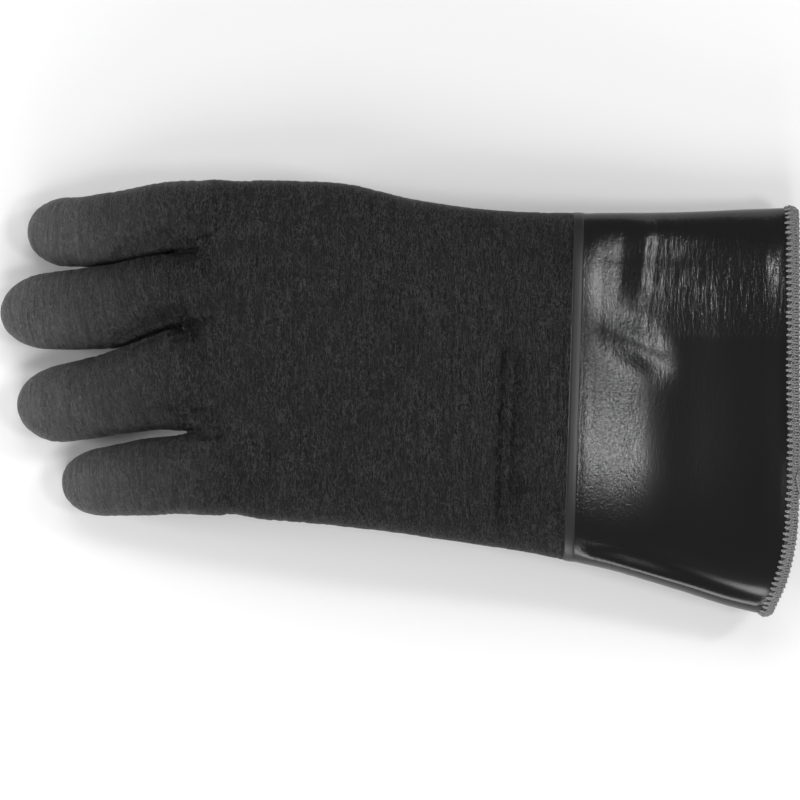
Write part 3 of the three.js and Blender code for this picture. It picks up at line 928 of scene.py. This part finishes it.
def build_hem(material, bed_material):
    """The hem's threads over a bed of felted fibres, and the edge that they follow."""
    edge = Edge()
    count = round(edge.length / PITCH)
    far = -np.pi * edge.radius
    upper = [
        (0.0, -2.7, 0.5), (0.26, -1.4, 0.6), (0.4, 2.0, 0.5), (0.5, 2.9, 0.15), (0.6, 2.0, 0.5),
        (0.74, -1.4, 0.6), (1.0, -2.7, 0.5),
    ]
    between = [(0.0, 0.2, 0.35), (0.28, -1.6, 0.3), (0.5, -3.6, 0.42), (0.72, -1.6, 0.3), (1.0, 0.2, 0.35)]
    lower = [
        (0.0, far - 4.0, 0.2), (0.14, far - 2.6, 0.5), (0.4, far + 1.6, 0.5), (0.5, -2.6, 0.7),
        (0.6, far + 1.6, 0.5), (0.86, far - 2.6, 0.5), (1.0, far - 4.0, 0.2),
    ]
    lock = [(0.0, 0.5, 0.95), (0.25, 1.0, 1.0), (0.5, 0.7, 0.95), (0.75, 0.2, 0.85), (1.0, 0.5, 0.95)]
    purl = [(0.0, -2.2, 0.95), (0.25, -3.0, 1.2), (0.5, -3.9, 0.95), (0.75, -3.1, 0.7), (1.0, -2.2, 0.95)]
    # Name, pattern, samples a stitch, radius and seed of each thread.
    threads = [
        ("hem_upper_looper", upper, 20, 0.4, 5),
        ("hem_filling", between, 14, 0.34, 9),
        ("hem_lower_looper", lower, 20, 0.4, 6),
        ("hem_lock_thread", lock, 12, 0.28, 7),
        ("hem_edge_purl", purl, 12, 0.4, 8),
    ]
    pieces = []
    for name, pattern, samples, radius, seed in threads:
        path = stitches(edge, pattern, count, samples, seed)
        pieces.append(tubes(name, [tube(path, radius, closed=True)], material))
    for piece in pieces:
        co = np.array([v.co for v in piece.data.vertices])
        co[:, 2] = np.maximum(co[:, 2], THREAD_TABLE_GAP * MM)
        fill(piece.data.vertices, "co", co)
        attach(piece, "cuff")
    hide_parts("hem_overlock")
    q = np.linspace(0, edge.length, 900, endpoint=False)
    depths = np.r_[2.4, 2.0, 1.0, np.linspace(0, far, 12), far - 1.2, far - 2.6, far - 3.0]
    lifts = np.r_[0.02, 0.2, 0.28, np.full(12, 0.3), 0.28, 0.2, 0.02]
    outer = np.array([edge.at(q, v, h) for v, h in zip(depths, lifts)])
    inner = np.array([edge.at(q, v, -0.4) for v in depths])
    outer[..., 2] = np.maximum(outer[..., 2], 0.1)
    bed = closed_shell("hem_fuzz", outer, inner, bed_material)
    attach(bed, "cuff")
    return edge


def build_tail(edge, material):
    """The chain of thread past the last stitch, caught against the hem."""
    low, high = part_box("hem_thread_tail")
    middle = np.array((low + high) / 2 / MM)
    q0 = edge.run[np.linalg.norm(edge.rim - middle, axis=1).argmin()]
    t = np.linspace(0, 1, 90)
    strands = []
    for k in range(3):
        turn = t * 9 * np.pi + k * 2 * np.pi / 3
        taper = 1 - 0.5 * smoothstep(t, 0.75, 1)
        q = q0 + TAIL_LENGTH * (t - 0.5) + 0.25 * np.cos(turn)
        v = -1.7 - 0.5 * np.sin(turn) * taper + 0.6 * np.sin(t * 5)
        h = 1.75 + 0.42 * np.cos(turn) * taper + 0.25 * np.sin(t * 7)
        strands.append(tube(edge.at(q, v, h), THREAD * taper, 6))
    piece = tubes("thread_tail", strands, material)
    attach(piece, "cuff")
    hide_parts("hem_thread_tail")


def build_seam(node, side, material):
    """A sewn seam allowance inside the lining with its stitches."""
    low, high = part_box(node)
    step = 0.8
    x = np.arange(low.x / MM, high.x / MM, step)
    y, z, a, *_ = section(x)
    y = y + side * (a - LINING_IN - 1.1)
    path = np.column_stack([x, y, z])
    parts = [tube(path, 0.8, 8)]
    t = np.arange(0, len(x) * step, 0.25)
    zig = read_at(t, np.arange(len(x)) * step, path)
    wave = np.sin(t * 2 * np.pi / ZIGZAG)
    zig[:, 2] += 1.7 * wave
    zig[:, 1] -= side * (0.75 - 0.5 * np.abs(wave))
    parts.append(tube(zig, 0.28, 6))
    return tubes(f"{node}_stitched", parts, material)


# ---- Materials ----

# Depths of the bumps in metres.
CRINKLE_BUMP, SMOOTH_BUMP, LAP_BUMP, FIBRE_BUMP = 0.0012, 0.00024, 0.0002, 0.0004


def material(name, roughness, specular=0.5):
    """A new material and its shader."""
    m = bpy.data.materials.new(name)
    m.use_nodes = True
    bsdf = m.node_tree.nodes["Principled BSDF"]
    bsdf.inputs["Roughness"].default_value = roughness
    bsdf.inputs["Specular IOR Level"].default_value = specular
    return m, bsdf


def calculate(operation, *values):
    """A math node of the given values, which are numbers or other nodes' outputs."""
    tree = next(v.id_data for v in values if not isinstance(v, (int, float)))
    node = tree.nodes.new("ShaderNodeMath")
    node.operation = operation
    for socket, value in zip(node.inputs, values):
        if isinstance(value, (int, float)):
            socket.default_value = value
        else:
            tree.links.new(value, socket)
    return node.outputs[0]


def attribute(bsdf, name, output="Vector"):
    node = bsdf.id_data.nodes.new("ShaderNodeAttribute")
    node.attribute_name = name
    return node.outputs[output]


def separate(vector):
    node = vector.id_data.nodes.new("ShaderNodeSeparateXYZ")
    vector.id_data.links.new(vector, node.inputs[0])
    return node.outputs


def stretched_noise(grain, size, detail, roughness):
    """Noise whose features have a size along each direction of the grain."""
    tree = grain.id_data
    stretch = tree.nodes.new("ShaderNodeVectorMath")
    stretch.operation = "DIVIDE"
    tree.links.new(grain, stretch.inputs[0])
    stretch.inputs[1].default_value = size
    n = tree.nodes.new("ShaderNodeTexNoise")
    n.inputs["Scale"].default_value = 1
    n.inputs["Detail"].default_value = detail
    n.inputs["Roughness"].default_value = roughness
    n.inputs["Distortion"].default_value = 0.5
    tree.links.new(stretch.outputs[0], n.inputs["Vector"])
    return n.outputs["Fac"]


def layered_noise(grain, layers):
    """A sum of stretched noises: each layer is (size of a feature, detail, roughness, weight)."""
    total = 0.0
    for size, detail, roughness, weight in layers:
        layer = stretched_noise(grain, size, detail, roughness)
        total = calculate("MULTIPLY_ADD", layer, weight, total)
    return total


def thin_lines(grain, size, sharpness):
    """1 on winding lines, falling to 0 beside them."""
    away = calculate("SUBTRACT", stretched_noise(grain, size, 3, 0.6), 0.5)
    fall = calculate("MULTIPLY_ADD", calculate("ABSOLUTE", away), -sharpness, 1)
    return calculate("MAXIMUM", fall, 0)


def add_bump(bsdf, height, strength, distance):
    tree = bsdf.id_data
    bump = tree.nodes.new("ShaderNodeBump")
    bump.inputs["Strength"].default_value = strength
    bump.inputs["Distance"].default_value = distance
    tree.links.new(height, bump.inputs["Height"])
    tree.links.new(bump.outputs["Normal"], bsdf.inputs["Normal"])


def shade_by(bsdf, height, heights, shades, extra=None):
    """A grey base colour that follows the height, plus an extra output if one is given."""
    tree = bsdf.id_data
    ramp = tree.nodes.new("ShaderNodeMapRange")
    ramp.inputs["From Min"].default_value, ramp.inputs["From Max"].default_value = heights
    ramp.inputs["To Min"].default_value, ramp.inputs["To Max"].default_value = shades
    tree.links.new(height, ramp.inputs["Value"])
    shade = ramp.outputs["Result"]
    if extra is not None:
        shade = calculate("ADD", shade, extra)
    mix = tree.nodes.new("ShaderNodeCombineColor")
    for channel in ("Red", "Green", "Blue"):
        tree.links.new(shade, mix.inputs[channel])
    tree.links.new(mix.outputs["Color"], bsdf.inputs["Base Color"])


def crinkle_material():
    """Rubber with sharp little ridges across the hand, its colour lighter on the ridges as a painted
    highlight, and grey towards the fingertips, partly wear and partly a painted sheen.
    """
    m, bsdf = material("crinkle_rubber", 0.44, 0.3)
    grain = attribute(bsdf, "grain")
    line = thin_lines(grain, (1.3, 3.4, 3.4), 14)
    patches = layered_noise(grain, [((3.0, 12, 12), 2, 0.5, 1.4), ((0.6, 0.7, 0.7), 2, 0.6, 0.9)])
    ridges = calculate("MULTIPLY", line, calculate("SUBTRACT", patches, 0.55))
    crease = thin_lines(grain, (2.4, 22, 22), 16)
    height = calculate("MULTIPLY_ADD", ridges, 0.6, patches)
    height = calculate("MULTIPLY_ADD", crease, -0.5, height)
    add_bump(bsdf, height, 1.0, CRINKLE_BUMP)
    # The grey painted towards the fingertips: partly wear, partly a painted sheen.
    wear = attribute(bsdf, "wear", "Fac")
    # On the fingertips the grey is darker along the crease lines, a painted shade, and lighter on the ridges,
    # a painted highlight.
    tip_wear_and_painted_light = calculate("MULTIPLY_ADD", crease, -0.03, 0.078)
    tip_wear_and_painted_light = calculate("MULTIPLY_ADD", ridges, 0.06, tip_wear_and_painted_light)
    # The base colour is lighter on the thin ridge lines: a painted highlight on the ridges.
    shade_by(bsdf, ridges, (0.1, 1.0), (0.0, 0.074), calculate("MULTIPLY", wear, tip_wear_and_painted_light))
    return m


def smooth_material(name, shade, roughness, bump):
    """Glossy rubber with streaks and a fine orange peel, both stronger where it is creased."""
    m, bsdf = material(name, roughness)
    bsdf.inputs["Base Color"].default_value = (shade, shade, shade * 1.05, 1)
    grain = attribute(bsdf, "grain")
    peel = layered_noise(grain, [((1.1, 1.8, 1.8), 3, 0.6, 0.8), ((0.7, 0.8, 0.8), 2, 0.5, 0.4)])
    creases = attribute(bsdf, "wear", "Fac")
    streaks = calculate("MULTIPLY", stretched_noise(grain, (1.2, 8, 8), 2, 0.5), creases)
    share = calculate("MINIMUM", calculate("MULTIPLY", creases, 3.3), 1)
    add_bump(bsdf, calculate("MULTIPLY_ADD", peel, share, streaks), 0.6, bump)
    return m


def knit_material():
    """Columns of V-shaped stitches along the glove."""
    m, bsdf = material("knit_lining", 0.95, 0.2)
    grain = attribute(bsdf, "grain")
    along, across, up = separate(grain)
    column = calculate("DIVIDE", calculate("MULTIPLY_ADD", up, 0.6, across), 1.9)
    beside = calculate("ABSOLUTE", calculate("SUBTRACT", calculate("FRACT", column), 0.5))
    row = calculate("MULTIPLY_ADD", beside, 1.1, calculate("DIVIDE", along, 1.4))
    legs = calculate("SINE", calculate("MULTIPLY", row, 2 * math.pi))
    fibres = layered_noise(grain, [((0.5, 0.35, 0.35), 2, 0.6, 0.7), ((4, 4, 4), 2, 0.5, 0.3)])
    rounded = calculate("MULTIPLY_ADD", calculate("MULTIPLY", beside, beside), -3, fibres)
    height = calculate("MULTIPLY_ADD", legs, 0.4, rounded)
    add_bump(bsdf, height, 1.0, FIBRE_BUMP)
    # The colour follows the stitches' height: a random fibre tone, and painted shade in the grooves between
    # the stitches.
    shade_by(bsdf, height, (-0.5, 0.8), (0.09, 0.36))
    return m


def thread_material(name, shade):
    """Two plies twisted round each other, with loose fibres."""
    m, bsdf = material(name, 0.85, 0.2)
    grain = attribute(bsdf, "grain")
    along, around, _ = separate(grain)
    twist = calculate("MULTIPLY", along, 5)
    plies = calculate("SINE", calculate("MULTIPLY_ADD", around, 2, twist))
    fibres = layered_noise(grain, [((0.3, 0.5, 1.0), 3, 0.65, 0.9), ((0.9, 1.2, 1.2), 2, 0.5, 0.6)])
    height = calculate("MULTIPLY_ADD", plies, 0.22, fibres)
    add_bump(bsdf, height, 1.0, FIBRE_BUMP)
    # The colour follows the height: a random fibre tone, and painted shade in the grooves between the plies.
    shade_by(bsdf, height, (0.4, 1.15), (0.35 * shade, 1.5 * shade))
    return m


def fuzz_material():
    """The felted fibres under the hem's threads."""
    m, bsdf = material("hem_fuzz", 0.95, 0.1)
    grain = attribute(bsdf, "grain")
    height = layered_noise(grain, [((0.35, 0.35, 0.35), 3, 0.65, 1.0), ((0.9, 1.2, 1.2), 2, 0.5, 0.6)])
    add_bump(bsdf, height, 1.0, FIBRE_BUMP)
    shade_by(bsdf, height, (0.55, 1.05), (0.015, 0.11))
    return m


# ---- Build ----

SKIN_STEP, LINING_STEP = 1.15, 2.3
skin = make_skin(SKIN_STEP, 0.0, True)
shell = build_skin(skin, "skin", COATING, crinkle_material())
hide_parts("hand_shell", "wrist_shell")
for name in digits:
    for part in ("base", "tip"):
        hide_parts(f"{name}_{part}_shell")

smooth_rubber = smooth_material("smooth_rubber", 0.004, 0.22, SMOOTH_BUMP)
lap_rubber = smooth_material("lap_rubber", 0.014, 0.38, LAP_BUMP)
knit, thread = knit_material(), thread_material("thread", 0.31)
cuff_skin, cuff_lap = build_cuff(smooth_rubber, lap_rubber)
for piece, node in ((cuff_skin, "gauntlet_cuff"), (cuff_lap, "cuff_lap_band")):
    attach(piece, "cuff")
    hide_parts(node)
build_tail(build_hem(thread, fuzz_material()), thread)

lining_skin = make_skin(LINING_STEP, -LINING_OUT, False)
lining = build_skin(lining_skin, "lining_knit", LINING_IN - LINING_OUT, knit)
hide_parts("hand_lining")
for name in digits:
    for part in ("base", "tip"):
        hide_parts(f"{name}_{part}_lining")
cuff_lining = build_cuff_lining(knit)
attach(cuff_lining, "cuff")
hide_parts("cuff_lining")
for place in ("hand", "cuff"):
    for side, sign in (("thumb_side", 1), ("outer_side", -1)):
        node = f"{place}_seam_{side}"
        piece = build_seam(node, sign, thread)
        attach(piece, place)
        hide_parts(node)

# ---- Stage ----

FLOOR_REACH, FLOOR_SHADE, WORLD_STRENGTH = 3, 0.86, 0.2
corners = [(x * FLOOR_REACH, y * FLOOR_REACH, 0) for x, y in ((-1, -1), (1, -1), (1, 1), (-1, 1))]
floor_mesh = bpy.data.meshes.new("floor")
floor_mesh.from_pydata(corners, [], [(0, 1, 2, 3)])
floor = new_object("floor", floor_mesh)
floor_material, floor_bsdf = material("floor", 0.7)
floor_bsdf.inputs["Base Color"].default_value = (FLOOR_SHADE, FLOOR_SHADE, FLOOR_SHADE, 1)
floor.data.materials.append(floor_material)

world = bpy.data.worlds.new("studio")
bpy.context.scene.world = world
world.use_nodes = True
background = world.node_tree.nodes["Background"]
background.inputs["Color"].default_value = (1, 1, 1, 1)
background.inputs["Strength"].default_value = WORLD_STRENGTH


def soft_box(name, from_x, from_y, distance, size, radiance, aim=(0, 0, 0.03)):
    """A light seen from the aim at two tilts from straight up, in degrees, as bright as its radiance."""
    way = Vector((math.tan(math.radians(from_x)), math.tan(math.radians(from_y)), 1)).normalized()
    at = Vector(aim) + way * distance
    data = bpy.data.lights.new(name, "AREA")
    data.shape = "RECTANGLE"
    data.size, data.size_y = size
    data.energy = radiance * math.pi * size[0] * size[1]
    obj = new_object(name, data)
    obj.location = at
    obj.rotation_euler = (Vector(aim) - at).to_track_quat("-Z", "Y").to_euler()


soft_box("side", -72, 8, 1.8, (0.5, 0.5), 22)
soft_box("top", -25, 30, 2.2, (1.0, 1.0), 1)
soft_box("low", 2, -69, 1.6, (0.9, 0.6), 6)
soft_box("cuff_upper", 35, 20, 2.2, (0.34, 0.34), 8, (0.09, 0.05, 0.05))
soft_box("cuff_streak", 44.5, 21, 2.2, (0.26, 0.26), 36, (0.09, 0.06, 0.05))
soft_box("cuff_lower", 32, -7, 2.2, (0.34, 0.34), 26, (0.09, -0.02, 0.05))
for name, from_y in (("wide_a", 38), ("wide_b", -38)):
    soft_box(name, 0, from_y, 2.5, (1.4, 1.2), 3)
    bpy.data.objects[name].visible_glossy = False

CAMERA_AT = (0, 0.0005, 2.992)  # it looks straight down
CAMERA_LENS, SENSOR_WIDTH = 300, 36
camera_data = bpy.data.cameras.new("camera")
camera_data.lens = CAMERA_LENS
camera_data.sensor_width = SENSOR_WIDTH
camera = new_object("camera", camera_data)
camera.location = CAMERA_AT
camera.rotation_euler = (0, 0, 0)
bpy.context.scene.camera = camera
bpy.context.scene.view_settings.view_transform = "Standard"
